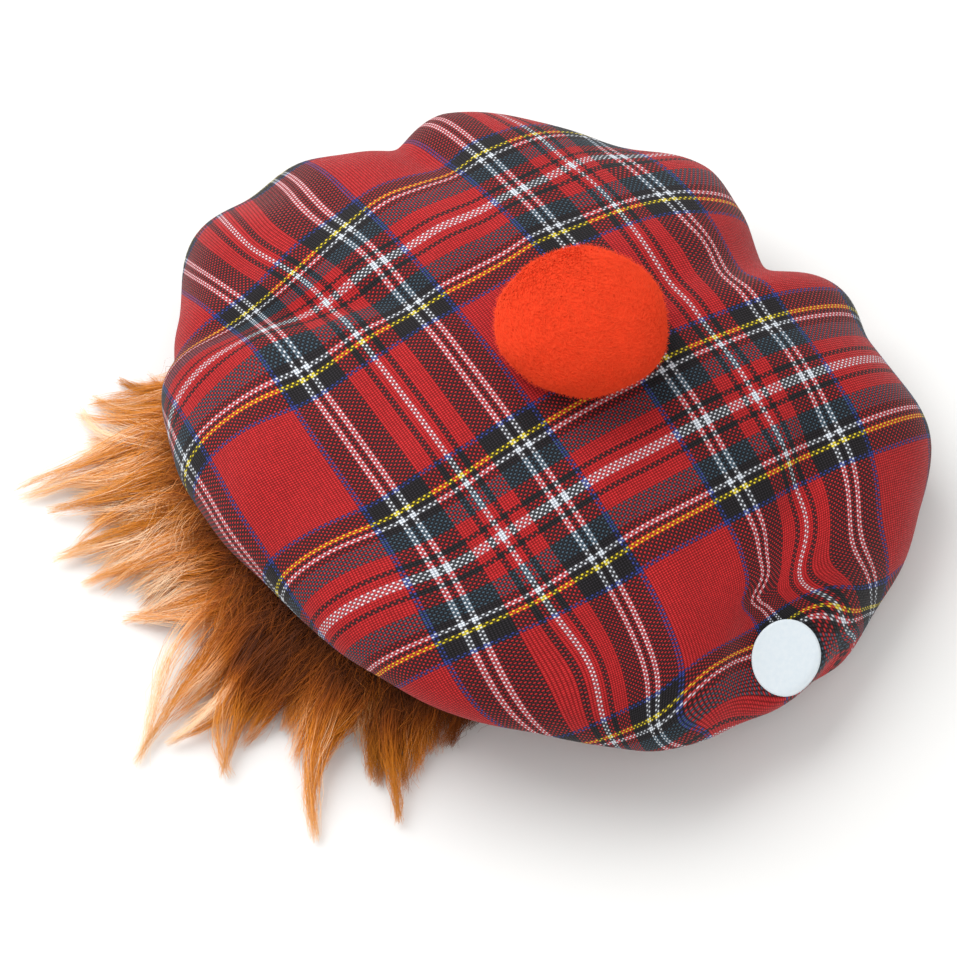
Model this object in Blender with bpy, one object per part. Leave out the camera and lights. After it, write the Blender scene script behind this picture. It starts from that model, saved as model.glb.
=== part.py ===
"""A tartan tam o' shanter lying on its headband.

One round of woven cloth is gathered into a headband, so the crown is a soft disc whose edge turns
under without a seam. The disc sits a little off the band's middle and droops in lobes. A flattened
toorie stands on its middle, a fringe of long fur is sewn to the back of the band, and a small paper
disc is stuck near the edge of the crown.

Lengths are in metres, +Z is up, the wearer's forehead is towards -Y and the fur towards +Y. Bearings
are in degrees, counted from +X towards +Y. The origin is the middle of the box that the hat fills,
on the surface that it lies on.
"""

import math
from collections import namedtuple

import bmesh
import bpy
import numpy as np
from mathutils import Vector
from mathutils.bvhtree import BVHTree

MM = 0.001
GAP = 0.3 * MM

# Headband: a plain ring of doubled cloth that stands on the surface.
BAND_INNER_RADIUS = 85.0 * MM
BAND_WALL = 2.6 * MM
BAND_HEIGHT = 26.0 * MM
BAND_EDGE = 0.6 * MM
BAND_SECTORS = 64

# Crown: the button is the middle of the cloth, and the rim rows hold how far the edge reaches from it.
CLOTH_THICKNESS = 1.6 * MM
BUTTON_X = -16.0 * MM
BUTTON_Y = -13.0 * MM
BUTTON_HEIGHT = 83.0 * MM
DOME_FALL = 1.6
DOME_ROUNDNESS = 2.3
ROLL_DEPTH = 8.0 * MM
ROLL_SHARE_OF_HEIGHT = 0.8
ROLL_FULLNESS = 2.6
ROUND_OVER = 4
HEM_WIDTH = 1.8 * MM
CROWN_SECTORS = 96
TOP_RINGS = 13
UNDER_RINGS = 6
UNDER_RING_CROWDING = 1.4

Rim = namedtuple("Rim", "name bearing reach height")
RIM = (
    Rim("left_slack", 0, 141, 14),
    Rim("left_shoulder", 7, 150, 12),
    Rim("left_straight", 15, 152, 12),
    Rim("left_corner", 24, 156, 14),
    Rim("back_left_side", 36, 144, 20),
    Rim("over_fur_corner", 49, 140, 28),
    Rim("over_fur_upper", 67, 131, 36),
    Rim("over_fur_middle", 90, 119, 42),
    Rim("over_fur_end", 122, 118, 42),
    Rim("bottom_flat", 143, 118, 38),
    Rim("bottom_corner", 160, 122, 30),
    Rim("disc_valley", 174, 113, 22),
    Rim("disc_lobe", 190, 111, 14),
    Rim("disc_lobe_side", 210, 115, 14),
    Rim("right_side", 222, 115, 17),
    Rim("right_end", 235, 118, 20),
    Rim("right_slope", 252, 105, 24),
    Rim("front_lip", 264, 106, 24),
    Rim("front_notch", 278, 91, 30),
    Rim("front_slope", 290, 99, 34),
    Rim("front_shoulder", 300, 109, 34),
    Rim("long_edge", 320, 111, 34),
    Rim("left_crest", 345, 133, 30),
    Rim("left_notch", 354, 134, 20),
)

# Creases run straight from one place to another, each told by its bearing and reach from the button.
# A crease with a negative depth is a swelling.
Crease = namedtuple("Crease", "name from_bearing from_reach to_bearing to_reach depth width")
CREASES = (
    Crease("tuck_at_back_left", 36, 78, 43, 128, 5.0, 8.0),
    Crease("notch_at_front", 273, 78, 275, 100, 4.0, 7.0),
    Crease("notch_at_left", 353, 108, 356, 145, 4.0, 8.0),
    Crease("fold_above_disc", 212, 80, 180, 96, 4.5, 7.0),
    Crease("valley_at_right", 153, 78, 158, 104, 4.0, 9.0),
    Crease("swelling_under_disc", 177, 102, 191, 104, -5.0, 15.0),
)
CREASE_END_FADE = 18.0 * MM

# Fur: a fan of locks rooted on the outside of the band, told by bearing and reach from its middle.
FUR_FROM = 36.0
FUR_TO = 142.0
FUR_STEP = 1.5
FUR_ROOT_LOW = 1.5 * MM
FUR_ROOT_HIGH = 22.0 * MM
FUR_TIP_HEIGHT = 3.0 * MM
FUR_UNDERSIDE = 0.3 * MM
FUR_CLEARANCE = 1.0 * MM
FUR_CEILING_REACH = 9.0 * MM
FUR_END_THINNING = 0.6
FUR_FALL = 1.5
FUR_TOP_SHARES = (0.0, 0.2, 0.4, 0.6, 0.8, 0.93)
FUR_UNDER_SHARES = (0.85, 0.4)
FUR_END_FADE = 9.0
FUR_SLOPE = 2.4 * MM

Lock = namedtuple("Lock", "bearing reach")
LOCKS = (
    Lock(40, 141), Lock(47, 151), Lock(59, 168), Lock(65, 156), Lock(72, 158), Lock(80, 146),
    Lock(91, 149), Lock(98, 167), Lock(107, 152), Lock(120, 156), Lock(129, 141), Lock(136, 118),
)

# Toorie: a ball of cut yarn, flattened by lying on the cloth.
TOORIE_RADIUS = 27.0 * MM
TOORIE_HEIGHT = 31.0 * MM
TOORIE_FOOT_RADIUS = 18.0 * MM
TOORIE_SECTORS = 28
TOORIE_RINGS = 12

# Paper disc on the crown.
DISC_RADIUS = 12.3 * MM
DISC_THICKNESS = 0.5 * MM
DISC_LIFT = 0.8 * MM
DISC_BEARING = 181.5
DISC_REACH = 109.0 * MM
DISC_RINGS = 3
DISC_SECTORS = 28
DISC_PROBE_START = 20.0 * MM


def clear_scene():
    """Empty the scene of objects that were there before."""
    for thing in list(bpy.data.objects):
        bpy.data.objects.remove(thing)


def finish_of(name, colour, roughness):
    """Make a plain material of one colour for a sub-part."""
    material = bpy.data.materials.new(name)
    material.use_nodes = True
    shader = material.node_tree.nodes["Principled BSDF"]
    shader.inputs["Base Color"].default_value = (*colour, 1.0)
    shader.inputs["Roughness"].default_value = roughness
    shader.inputs["Metallic"].default_value = 0.0
    return material


def object_from(mesh_builder, name, material):
    """Turn a bmesh into a named object with outward faces."""
    bmesh.ops.recalc_face_normals(mesh_builder, faces=mesh_builder.faces)
    mesh = bpy.data.meshes.new(name)
    mesh_builder.to_mesh(mesh)
    mesh_builder.free()
    mesh.shade_smooth()
    mesh.set_sharp_from_angle(angle=math.radians(40))
    mesh.materials.append(material)
    thing = bpy.data.objects.new(name, mesh)
    bpy.context.collection.objects.link(thing)
    return thing


def thicken(thing, thickness, offset):
    """Give a skin its thickness: offset -1 grows it inwards, +1 outwards."""
    solidify = thing.modifiers.new("thickness", "SOLIDIFY")
    solidify.thickness = thickness
    solidify.offset = offset
    solidify.use_rim = True


def direction(bearing):
    """Unit vector in plan, as x and y, for a bearing in degrees."""
    angle = np.radians(bearing)
    return np.cos(angle), np.sin(angle)


def smooth_around(bearings, values, at):
    """Read a closed smooth curve through rows of values at any bearing."""
    low = np.concatenate([np.array(bearings[-2:]) - 360.0, bearings, np.array(bearings[:2]) + 360.0])
    rows = np.concatenate([values[-2:], values, values[:2]])
    at = np.asarray(at, dtype=float) % 360.0
    start = np.clip(np.searchsorted(low, at, side="right") - 1, 1, len(low) - 3)
    span = low[start + 1] - low[start]
    share = (at - low[start]) / span
    slope_in = (rows[start + 1] - rows[start - 1]) / (low[start + 1] - low[start - 1]) * span
    slope_out = (rows[start + 2] - rows[start]) / (low[start + 2] - low[start]) * span
    return (
        (2 * share**3 - 3 * share**2 + 1) * rows[start]
        + (share**3 - 2 * share**2 + share) * slope_in
        + (3 * share**2 - 2 * share**3) * rows[start + 1]
        + (share**3 - share**2) * slope_out
    )


def rim_at(bearing):
    """Reach and height of the crown's edge at a bearing round the button."""
    bearings = [row.bearing for row in RIM]
    reach = smooth_around(bearings, [row.reach * MM for row in RIM], bearing)
    height = smooth_around(bearings, [row.height * MM for row in RIM], bearing)
    return reach, height


def crease_depth(x, y):
    """How far the creases press the cloth in at a place in plan, measured from the button."""
    depth = np.zeros_like(x)
    for row in CREASES:
        start = np.array(direction(row.from_bearing)) * row.from_reach * MM
        run = np.array(direction(row.to_bearing)) * row.to_reach * MM - start
        length = math.hypot(*run)
        along = ((x - start[0]) * run[0] + (y - start[1]) * run[1]) / length
        across = ((x - start[0]) * run[1] - (y - start[1]) * run[0]) / length
        beyond = np.maximum(np.maximum(-along, along - length), 0.0)
        profile = np.exp(-((across / (row.width * MM)) ** 2))
        depth += row.depth * MM * profile * np.exp(-((beyond / CREASE_END_FADE) ** 2))
    return depth


def top_point(bearing, share):
    """Place on the crown's top at a share of the way from the button to the rim, from the button."""
    reach, height = rim_at(bearing)
    out = np.sin(share * math.pi / 2)
    level = (1.0 - out**DOME_FALL) ** (1.0 / DOME_ROUNDNESS)
    dir_x, dir_y = direction(bearing)
    x = dir_x * reach * out
    y = dir_y * reach * out
    z = height + (BUTTON_HEIGHT - height) * level
    sideways = out**ROUND_OVER
    press = crease_depth(x, y)
    x = x - dir_x * press * sideways
    y = y - dir_y * press * sideways
    z = z - press * (1.0 - sideways)
    return BUTTON_X + x, BUTTON_Y + y, z


def under_point(bearing, share):
    """Place on the crown's underside at a share of the way from the rim to the band."""
    rim_x, rim_y, height = top_point(bearing, np.ones_like(bearing))
    hem_radius = BAND_INNER_RADIUS + BAND_WALL + 2 * GAP
    hem_height = BAND_HEIGHT + GAP
    rim_radius = np.hypot(rim_x, rim_y)
    roll = np.minimum(ROLL_DEPTH, ROLL_SHARE_OF_HEIGHT * height)
    radius = rim_radius + (hem_radius - rim_radius) * share
    droop = ROLL_FULLNESS * math.sqrt(share) * (1.0 - share)
    z = height + (hem_height - height) * share**2 - roll * droop
    return rim_x / rim_radius * radius, rim_y / rim_radius * radius, z


def crown_rings():
    """The crown's outer skin as rings of points from beside the button to the hem on the band."""
    bearing = np.arange(CROWN_SECTORS) * 360.0 / CROWN_SECTORS
    rings = [np.stack(top_point(bearing, (i + 1) / TOP_RINGS), axis=1) for i in range(TOP_RINGS)]
    under_shares = [((i + 1) / UNDER_RINGS) ** UNDER_RING_CROWDING for i in range(UNDER_RINGS)]
    rings += [np.stack(under_point(bearing, share), axis=1) for share in under_shares]
    radius = np.hypot(rings[-1][:, 0], rings[-1][:, 1])
    inward = (radius - HEM_WIDTH) / radius
    rings.append(rings[-1] * np.stack([inward, inward, np.ones_like(inward)], axis=1))
    return rings


def bridge_rings(builder, rings, closed):
    """Join rows of points of equal length with quads, and return the rows' corners."""
    rows = [[builder.verts.new(point) for point in ring] for ring in rings]
    count = len(rows[0])
    for near, far in zip(rows, rows[1:]):
        for i in range(count if closed else count - 1):
            after = (i + 1) % count
            builder.faces.new((near[i], far[i], far[after], near[after]))
    return rows


def cap(builder, row, point):
    """Close a ring with a fan to one point."""
    middle = builder.verts.new(point)
    for i, corner in enumerate(row):
        builder.faces.new((middle, corner, row[(i + 1) % len(row)]))


def make_crown(material):
    """The tartan crown: one shell from the button over the rim to the hem on the band."""
    builder = bmesh.new()
    rows = bridge_rings(builder, crown_rings(), closed=True)
    cap(builder, rows[0], (BUTTON_X, BUTTON_Y, BUTTON_HEIGHT))
    crown = object_from(builder, "crown", material)
    thicken(crown, CLOTH_THICKNESS, -1.0)
    return crown


def make_headband(material):
    """The headband: a rounded rectangle turned once round."""
    outer = BAND_INNER_RADIUS + BAND_WALL
    outline = (
        (BAND_INNER_RADIUS + BAND_EDGE, 0.0), (outer - BAND_EDGE, 0.0),
        (outer, BAND_EDGE), (outer, BAND_HEIGHT - BAND_EDGE),
        (outer - BAND_EDGE, BAND_HEIGHT), (BAND_INNER_RADIUS + BAND_EDGE, BAND_HEIGHT),
        (BAND_INNER_RADIUS, BAND_HEIGHT - BAND_EDGE), (BAND_INNER_RADIUS, BAND_EDGE),
    )
    builder = bmesh.new()
    corners = [builder.verts.new((radius, 0.0, z)) for radius, z in outline]
    sides = [builder.edges.new((corner, corners[(i + 1) % len(corners)])) for i, corner in enumerate(corners)]
    bmesh.ops.spin(
        builder, geom=corners + sides, cent=(0, 0, 0), axis=(0, 0, 1),
        angle=math.tau, steps=BAND_SECTORS, use_merge=True,
    )
    return object_from(builder, "headband", material)


def fur_reach(bearing):
    """How far the fur reaches at a bearing: the longest of the pointed locks there."""
    return max(lock.reach * MM - FUR_SLOPE * abs(bearing - lock.bearing) for lock in LOCKS)


def fur_ceiling(under, x, y):
    """Lowest height of the crown's underside close to a place in plan."""
    near = np.hypot(under[:, 0] - x, under[:, 1] - y) < FUR_CEILING_REACH
    return under[near, 2].min() - FUR_CLEARANCE if near.any() else 1.0


def fur_section(bearing, under):
    """One section of the fur, from its root on the band out to its tip and back below."""
    root = BAND_INNER_RADIUS + BAND_WALL + GAP
    reach = fur_reach(bearing)
    dir_x, dir_y = direction(bearing)
    end_fade = min(1.0, (bearing - FUR_FROM) / FUR_END_FADE, (FUR_TO - bearing) / FUR_END_FADE)
    outline = [(root, FUR_ROOT_LOW)]
    top = FUR_ROOT_LOW + (FUR_ROOT_HIGH - FUR_ROOT_LOW) * (1.0 - FUR_END_THINNING * (1.0 - end_fade))
    for share in FUR_TOP_SHARES:
        radius = root + (reach - root) * share
        wanted = FUR_TIP_HEIGHT + (top - FUR_TIP_HEIGHT) * (1.0 - share**FUR_FALL)
        ceiling = fur_ceiling(under, dir_x * radius, dir_y * radius)
        outline.append((radius, min(wanted, ceiling, outline[-1][1] if share else wanted)))
    outline.append((reach, FUR_TIP_HEIGHT / 2))
    for share in FUR_UNDER_SHARES:
        outline.append((root + (reach - root) * share, FUR_UNDERSIDE))
    return [(dir_x * radius, dir_y * radius, z) for radius, z in outline]


def make_fur(material):
    """The fur fringe as one solid of its outer form, lying on the surface behind the band."""
    under = np.concatenate(crown_rings()[TOP_RINGS - 1:])
    bearings = np.arange(FUR_FROM, FUR_TO + FUR_STEP / 2, FUR_STEP)
    builder = bmesh.new()
    rows = bridge_rings(builder, [fur_section(bearing, under) for bearing in bearings], closed=True)
    for row in (rows[0], rows[-1]):
        builder.faces.new(row)
    bmesh.ops.triangulate(builder, faces=[face for face in builder.faces if len(face.verts) > 4])
    return object_from(builder, "fur_fringe", material)


def make_toorie(material):
    """The toorie: a turned ball, flattened, with a flat foot on the button."""
    foot = BUTTON_HEIGHT + GAP
    lowest = -math.acos(TOORIE_FOOT_RADIUS / TOORIE_RADIUS)
    squeeze = TOORIE_HEIGHT / (1.0 - math.sin(lowest))
    rings = []
    for i in range(TOORIE_RINGS):
        angle = lowest + (math.pi / 2 - lowest) * i / TOORIE_RINGS
        radius = TOORIE_RADIUS * math.cos(angle)
        height = foot + squeeze * (math.sin(angle) - math.sin(lowest))
        rings.append([
            (BUTTON_X + radius * math.cos(turn), BUTTON_Y + radius * math.sin(turn), height)
            for turn in (math.tau * j / TOORIE_SECTORS for j in range(TOORIE_SECTORS))
        ])
    builder = bmesh.new()
    rows = bridge_rings(builder, rings, closed=True)
    cap(builder, rows[0], (BUTTON_X, BUTTON_Y, foot))
    cap(builder, rows[-1], (BUTTON_X, BUTTON_Y, foot + TOORIE_HEIGHT))
    return object_from(builder, "toorie", material)


def make_disc(crown, material):
    """The paper disc: a round sheet that follows the crown's cloth just above it."""
    skin = BVHTree.FromPolygons(
        [corner.co for corner in crown.data.vertices],
        [face.vertices for face in crown.data.polygons],
    )
    dir_x, dir_y = direction(DISC_BEARING)
    above = Vector((BUTTON_X + dir_x * DISC_REACH, BUTTON_Y + dir_y * DISC_REACH, 2 * BUTTON_HEIGHT))
    middle, _, _, _ = skin.ray_cast(above, Vector((0, 0, -1)))
    probes = [middle + Vector((dx, dy, 0)) * DISC_RADIUS for dx, dy in ((1, 0), (0, 1), (-1, 0), (0, -1))]
    landed = [skin.find_nearest(probe)[0] for probe in probes]
    facing = (landed[0] - landed[2]).cross(landed[1] - landed[3]).normalized()
    side = facing.cross(Vector((0, 0, 1))).normalized()
    rise = side.cross(facing)
    rings = []
    for i in range(DISC_RINGS):
        radius = DISC_RADIUS * (i + 1) / DISC_RINGS
        ring = []
        for j in range(DISC_SECTORS):
            turn = math.tau * j / DISC_SECTORS
            spot = middle + side * (radius * math.cos(turn)) + rise * (radius * math.sin(turn))
            hit, _, _, _ = skin.ray_cast(spot + facing * DISC_PROBE_START, -facing)
            ring.append(hit + facing * DISC_LIFT)
        rings.append(ring)
    builder = bmesh.new()
    rows = bridge_rings(builder, rings, closed=True)
    hit, _, _, _ = skin.ray_cast(middle + facing * DISC_PROBE_START, -facing)
    cap(builder, rows[0], hit + facing * DISC_LIFT)
    disc = object_from(builder, "press_disc", material)
    thicken(disc, DISC_THICKNESS, 1.0 if disc.data.polygons[0].normal.dot(facing) > 0 else -1.0)
    return disc


def centre_on_origin(things):
    """Move the whole hat so that the middle of its box is over the origin."""
    bpy.context.view_layer.update()
    corners = [thing.matrix_world @ Vector(corner) for thing in things for corner in thing.bound_box]
    low = [min(corner[axis] for corner in corners) for axis in range(2)]
    high = [max(corner[axis] for corner in corners) for axis in range(2)]
    for thing in things:
        thing.location.x -= (low[0] + high[0]) / 2
        thing.location.y -= (low[1] + high[1]) / 2


def main():
    """Make every piece and centre the hat."""
    clear_scene()
    tartan = finish_of("red_tartan", (0.55, 0.02, 0.03), 0.85)
    band_cloth = finish_of("band_cloth", (0.45, 0.02, 0.03), 0.85)
    fur = finish_of("ginger_fur", (0.55, 0.22, 0.06), 0.7)
    yarn = finish_of("orange_red_yarn", (0.85, 0.07, 0.02), 0.9)
    paper = finish_of("white_paper", (0.82, 0.88, 0.91), 0.5)
    crown = make_crown(tartan)
    pieces = [crown, make_headband(band_cloth), make_fur(fur), make_toorie(yarn), make_disc(crown, paper)]
    centre_on_origin(pieces)


main()
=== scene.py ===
"""The looks of a tartan tam o' shanter that lies on its headband.

It has a woven crown gathered into a ruched band, long ginger fur at the back, a toorie of soft pile on
the middle and a round paper patch near the edge. Lengths are in metres, and bearings in degrees from +X
towards +Y. The crown's edge and creases are those of the CAD model, built again here in fine steps and then
given the slack, the gathers and the weave of the cloth.
"""

import math
from collections import namedtuple

import bpy
import numpy as np
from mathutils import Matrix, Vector
from mathutils.bvhtree import BVHTree


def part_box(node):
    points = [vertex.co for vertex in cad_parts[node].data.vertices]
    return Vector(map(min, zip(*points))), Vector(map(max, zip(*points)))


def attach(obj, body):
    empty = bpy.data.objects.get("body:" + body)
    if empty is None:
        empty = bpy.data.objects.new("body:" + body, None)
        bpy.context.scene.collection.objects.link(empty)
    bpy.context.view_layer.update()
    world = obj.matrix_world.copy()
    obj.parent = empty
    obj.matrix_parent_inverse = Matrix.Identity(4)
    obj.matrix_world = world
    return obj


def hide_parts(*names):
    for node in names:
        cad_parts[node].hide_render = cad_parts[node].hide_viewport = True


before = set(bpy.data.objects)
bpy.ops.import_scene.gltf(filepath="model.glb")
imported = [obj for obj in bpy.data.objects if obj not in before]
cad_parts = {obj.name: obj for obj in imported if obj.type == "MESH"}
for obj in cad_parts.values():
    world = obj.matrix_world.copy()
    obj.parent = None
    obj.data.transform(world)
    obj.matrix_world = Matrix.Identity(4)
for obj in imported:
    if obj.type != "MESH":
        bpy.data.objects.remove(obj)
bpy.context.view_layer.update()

MM = 0.001
GAP = 0.3 * MM

# ---- Sizes. The headband's box gives the place of everything else. ----

band_low, band_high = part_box("headband")
BAND_X = (band_low.x + band_high.x) / 2
BAND_Y = (band_low.y + band_high.y) / 2
BAND_HEIGHT = band_high.z
BAND_OUTER_RADIUS = (band_high.x - band_low.x) / 2
BAND_WALL = 2.6 * MM

BUTTON_X = BAND_X - 16.0 * MM
BUTTON_Y = BAND_Y - 13.0 * MM
BUTTON_HEIGHT = 83.0 * MM

# Crown: how far its edge reaches from the button, and how high it lies, in mm.
Rim = namedtuple("Rim", "name bearing reach height")
RIM = (
    Rim("left_slack", 0, 141, 14),
    Rim("left_shoulder", 7, 150, 12),
    Rim("left_straight", 15, 152, 12),
    Rim("left_corner", 24, 156, 14),
    Rim("back_left_side", 36, 144, 20),
    Rim("over_fur_corner", 49, 140, 28),
    Rim("over_fur_upper", 67, 131, 36),
    Rim("over_fur_middle", 90, 119, 42),
    Rim("over_fur_end", 122, 118, 42),
    Rim("bottom_flat", 143, 118, 38),
    Rim("bottom_corner", 160, 122, 30),
    Rim("disc_valley", 174, 113, 22),
    Rim("disc_lobe", 190, 111, 14),
    Rim("disc_lobe_side", 210, 115, 14),
    Rim("right_side", 222, 115, 17),
    Rim("right_end", 235, 118, 20),
    Rim("right_slope", 252, 105, 24),
    Rim("front_lip", 264, 106, 24),
    Rim("front_notch", 278, 91, 30),
    Rim("front_slope", 290, 99, 34),
    Rim("front_shoulder", 300, 109, 34),
    Rim("long_edge", 320, 111, 34),
    Rim("left_crest", 345, 133, 30),
    Rim("left_notch", 354, 134, 20),
)
DOME_FALL = 1.6
DOME_ROUNDNESS = 2.3
ROLL_DEPTH = 8.0 * MM
ROLL_SHARE_OF_HEIGHT = 0.8
HEM_WIDTH = 1.8 * MM
CLOTH_THICKNESS = 1.3 * MM

# Creases run straight between two places, each told by its bearing and its reach from the button in mm.
# They press the cloth in by their depth, or let it out where that is less than 0.
Crease = namedtuple("Crease", "name from_bearing from_reach to_bearing to_reach depth width")
CREASES = (
    Crease("tuck_at_back_left", 36, 78, 43, 128, 5.0, 8.0),
    Crease("notch_at_front", 273, 78, 275, 100, 4.0, 7.0),
    Crease("notch_at_left", 353, 108, 356, 145, 4.0, 8.0),
    Crease("fold_above_disc", 212, 80, 180, 96, 4.5, 7.0),
    Crease("valley_at_right", 153, 78, 158, 104, 4.0, 9.0),
    Crease("swelling_under_disc", 177, 102, 191, 104, -5.0, 15.0),
)
CREASE_END_FADE = 18.0 * MM

CROWN_SECTORS = 480
TOP_RINGS = 64
UNDER_RINGS = 28
ROLL_FULLNESS = 2.6
ROUND_OVER = 4
UNDER_RING_CROWDING = 1.6

SLACK_SEED = 11
SLACK_WAVES = 7
SLACK_DEPTH = 0.55 * MM
SLACK_SHORTEST = 26.0 * MM
SLACK_LONGEST = 60.0 * MM
SLACK_FREE_FROM = 25.0 * MM
SLACK_FREE_TO = 45.0 * MM

GATHERS = 58
GATHER_DEPTH = 2.4 * MM
GATHER_REACH = 0.45
GATHER_FADE = 0.35
HEM_HOLD = 0.6

# The cloth as it was cut: a round. Two bearings and the button's place in the sett tell how its grain lies.
SETT_ALONG_U = 98.0 * MM
SETT_ALONG_V = 110.0 * MM
U_BEARING = -92.5
V_BEARING = -183.0
BUTTON_U = 0.58
BUTTON_V = 0.62

# Headband: doubled cloth, ruched by the elastic inside it.
BAND_SECTORS = 480
BAND_SIDE_ROWS = 16
BAND_EDGE_ROWS = 3
RUCHES = 74
RUCHE_DEPTH = 0.4 * MM
RUCHE_FADE_FROM = 0.7
BAND_CLOTH_START = 31.0 * MM

# Paper patch, stuck to the cloth.
PATCH_BEARING = 181.0
PATCH_REACH = 110.0 * MM
PATCH_LEAN = 38.0
PATCH_FLAT_RADIUS = 11.0 * MM
PATCH_FADE_RADIUS = 27.0 * MM
PATCH_RADIUS = 12.3 * MM
PATCH_LIFT = 0.35 * MM
PATCH_THICKNESS = 0.3 * MM
PATCH_RINGS = 14
PATCH_FIRST_RING = 0.2
PATCH_SECTORS = 72
PATCH_PROBE_START = 20.0 * MM

# Toorie: a flattened ball of yarn whose short pile lies close, like velvet. It leans a little, and its foot
# is within the thickness of the cloth that it is sewn to. Its fibres are wider than real ones, so that they
# show, and their shading leans up by PILE_LIGHT, as light from above sinks into the pile.
TOORIE_SEED = 5
TOORIE_RADIUS = 27.7 * MM
TOORIE_HEIGHT = 29.0 * MM
TOORIE_LEAN = 5.0
TOORIE_LEAN_BEARING = -35.0
TOORIE_FOOT_RADIUS = 18.0 * MM
TOORIE_TUCK_RADIUS = 10.0 * MM
TOORIE_SINK = 1.0 * MM
TOORIE_LOWEST = BUTTON_HEIGHT - 1.7 * MM
TOORIE_LUMPS = 0.5 * MM
NAP_DEPTH = 0.9 * MM
NAP_RISE = 0.8 * MM
NAP_LENGTH = 2.4 * MM
NAP_WIDTH = 0.17 * MM
NAP_FIBRES = 31000
NAP_STEEPNESS = 0.3
NAP_STRAYING = 0.75
NAP_SOFTNESS = 0.9
NAP_TONES = (0.45, 0.70)
BALL_TONE = 0.55
STRAY_FIBRES = 6000
STRAY_LENGTH = 2.0 * MM
PILE_LIGHT = 1.6
BALL_RINGS = 64
BALL_SECTORS = 128

# Fur: locks told by the bearing and reach (in mm) of their tips from the band's axis, and by the gap that
# follows each of them. Lean turns a lock's end away from the band's radius, counter-clockwise where it is
# more than 0. Shade tells how light it is, from 0 to 1. The low shades of the last three locks, which lie
# in the crown's shadow, are painted shade.
Lock = namedtuple("Lock", "name bearing reach lean gap_bearing gap_reach shade")
LOCKS = (
    Lock("wisp_by_left_lobe", 41, 141, -28, 43, 134, 0.62),
    Lock("upper_wisp", 45, 149, -14, 46, 144, 0.66),
    Lock("upper_lock", 47, 152, -40, 50, 144, 0.60),
    Lock("long_upper_lock", 60, 170, 26, 61, 150, 0.70),
    Lock("thin_middle_lock", 63, 160, 12, 66, 146, 0.60),
    Lock("middle_lock", 70, 161, 16, 72, 151, 0.68),
    Lock("broad_end", 74, 154, -3, 78, 141, 0.70),
    Lock("looped_lock", 80, 145, -36, 88, 127, 0.66),
    Lock("long_lower_lock", 98, 169, 27, 96, 140, 0.70),
    Lock("lower_wisp", 99, 158, -6, 102, 131, 0.66),
    Lock("curled_lock", 107, 153, 38, 106, 128, 0.62),
    Lock("thick_hanging_lock", 120, 157, 25, 116, 121, 0.64),
    # These last three locks are darkened: painted shade of the crown.
    Lock("dark_curtain", 124, 132, 25, 126, 127, 0.26),
    Lock("pointed_dark_lock", 129, 142, 26, 129, 118, 0.34),
    Lock("blunt_end", 133, 112, 0, 138, 98, 0.10),
)
FUR_SEED = 23
FUR_START_BEARING = 38.0
FUR_START_REACH = 120.0 * MM
FUR_MIDDLE_BEARING = 88.0

# A lock is made of wisps: one for each cell of its area and a few more. The lead wisps run to its very tip.
WISP_STRANDS = 72
WISP_CELL = 16.0 * MM * MM
WISPS_AT_LEAST = 4
LEAD_WISPS = 2
LEAD_REACH = 1.02
WISP_WIDTH = 6.5 * MM
WISP_LEAN_CHANCE = 7.0
LOCK_DRAWN_IN = 0.95
LOCK_SHADE_DROP = 0.05

# The body of the fur is thick and shorter. Its shortest wisps, which lie near the band under the crown's
# edge, are made the darkest: painted shade. Its reach is a share of the way out to the gaps.
BODY_WISPS = 104
BODY_WISP_STRANDS = 66
BODY_REACH = (0.5, 1.04)
BODY_WIDTH = (8.0 * MM, 13.0 * MM)
BODY_LEAN_SHARE = 0.4
BODY_LEAN_CHANCE = 14.0
BODY_DRAWN_IN = 0.6
BODY_SHADE_RISE = 0.05
SHORT_WISP_PAINTED_SHADE = 0.4

# The underfur is short and crimped, and made dark: painted shade under the crown's edge.
UNDERFUR_STRANDS = 3800
UNDERFUR_WISP_STRANDS = 12
UNDERFUR_REACH = (0.4, 0.72)
UNDERFUR_LEAN_CHANCE = 45.0
UNDERFUR_WIDTH = 9.0 * MM
UNDERFUR_BULGE = 22.0 * MM
UNDERFUR_DRAWN_IN = 0.6
UNDERFUR_CRIMP = 1.3 * MM
UNDERFUR_PAINTED_SHADE = 0.32

# Strands are wider than real ones, so that they show. Ragged tells how unevenly long a wisp's strands are.
STRAND_POINTS = 11
STRAND_THICKNESS = (0.7, 1.25)
STRAND_TAPER = 1.2
STRAND_ROLL = 0.45
STRAND_WIDTH = 0.24 * MM
STRAND_TIP_WIDTH = 0.05 * MM
ROOT_LOW = 2.0 * MM
ROOT_HIGH = 20.0 * MM
WISP_BEND = 0.55
WISP_SPREAD = 0.42
WISP_WAVE = 3.0 * MM
WISP_TURNS = 1.15
WAVE_DRIFT = 9.0
WISP_BULGE = 8.0 * MM
STRAND_STRAYING = 0.35
STRAND_TURNS = 1.7
CRIMP = 0.45 * MM
RAGGED = 0.15
RAGGED_AT_TIP = 0.07
STRAND_LEAN_OUT = 0.35
STRAND_SOFTNESS = 0.65

# A strand's colour follows its way out from the band, by OUT_WEIGHT, and for the rest its own length, so
# that the fur is darkest near the band, under the crown's edge: painted shade. Just below the crown's edge
# in the middle of the fringe, a patch is made darker still: painted shade.
FUR_DEPTH = 80.0 * MM
OUT_WEIGHT = 0.7
WISP_TONE_CHANCE = 0.15
STRAND_TONE_CHANCE = 0.13
PAINTED_SHADE_BEARING = 101.0
PAINTED_SHADE_REACH = 124.0 * MM
PAINTED_SHADE_BREADTH = 10.0
PAINTED_SHADE_LENGTH = 15.0 * MM
PAINTED_SHADE_DARKNESS = 0.22

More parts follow.
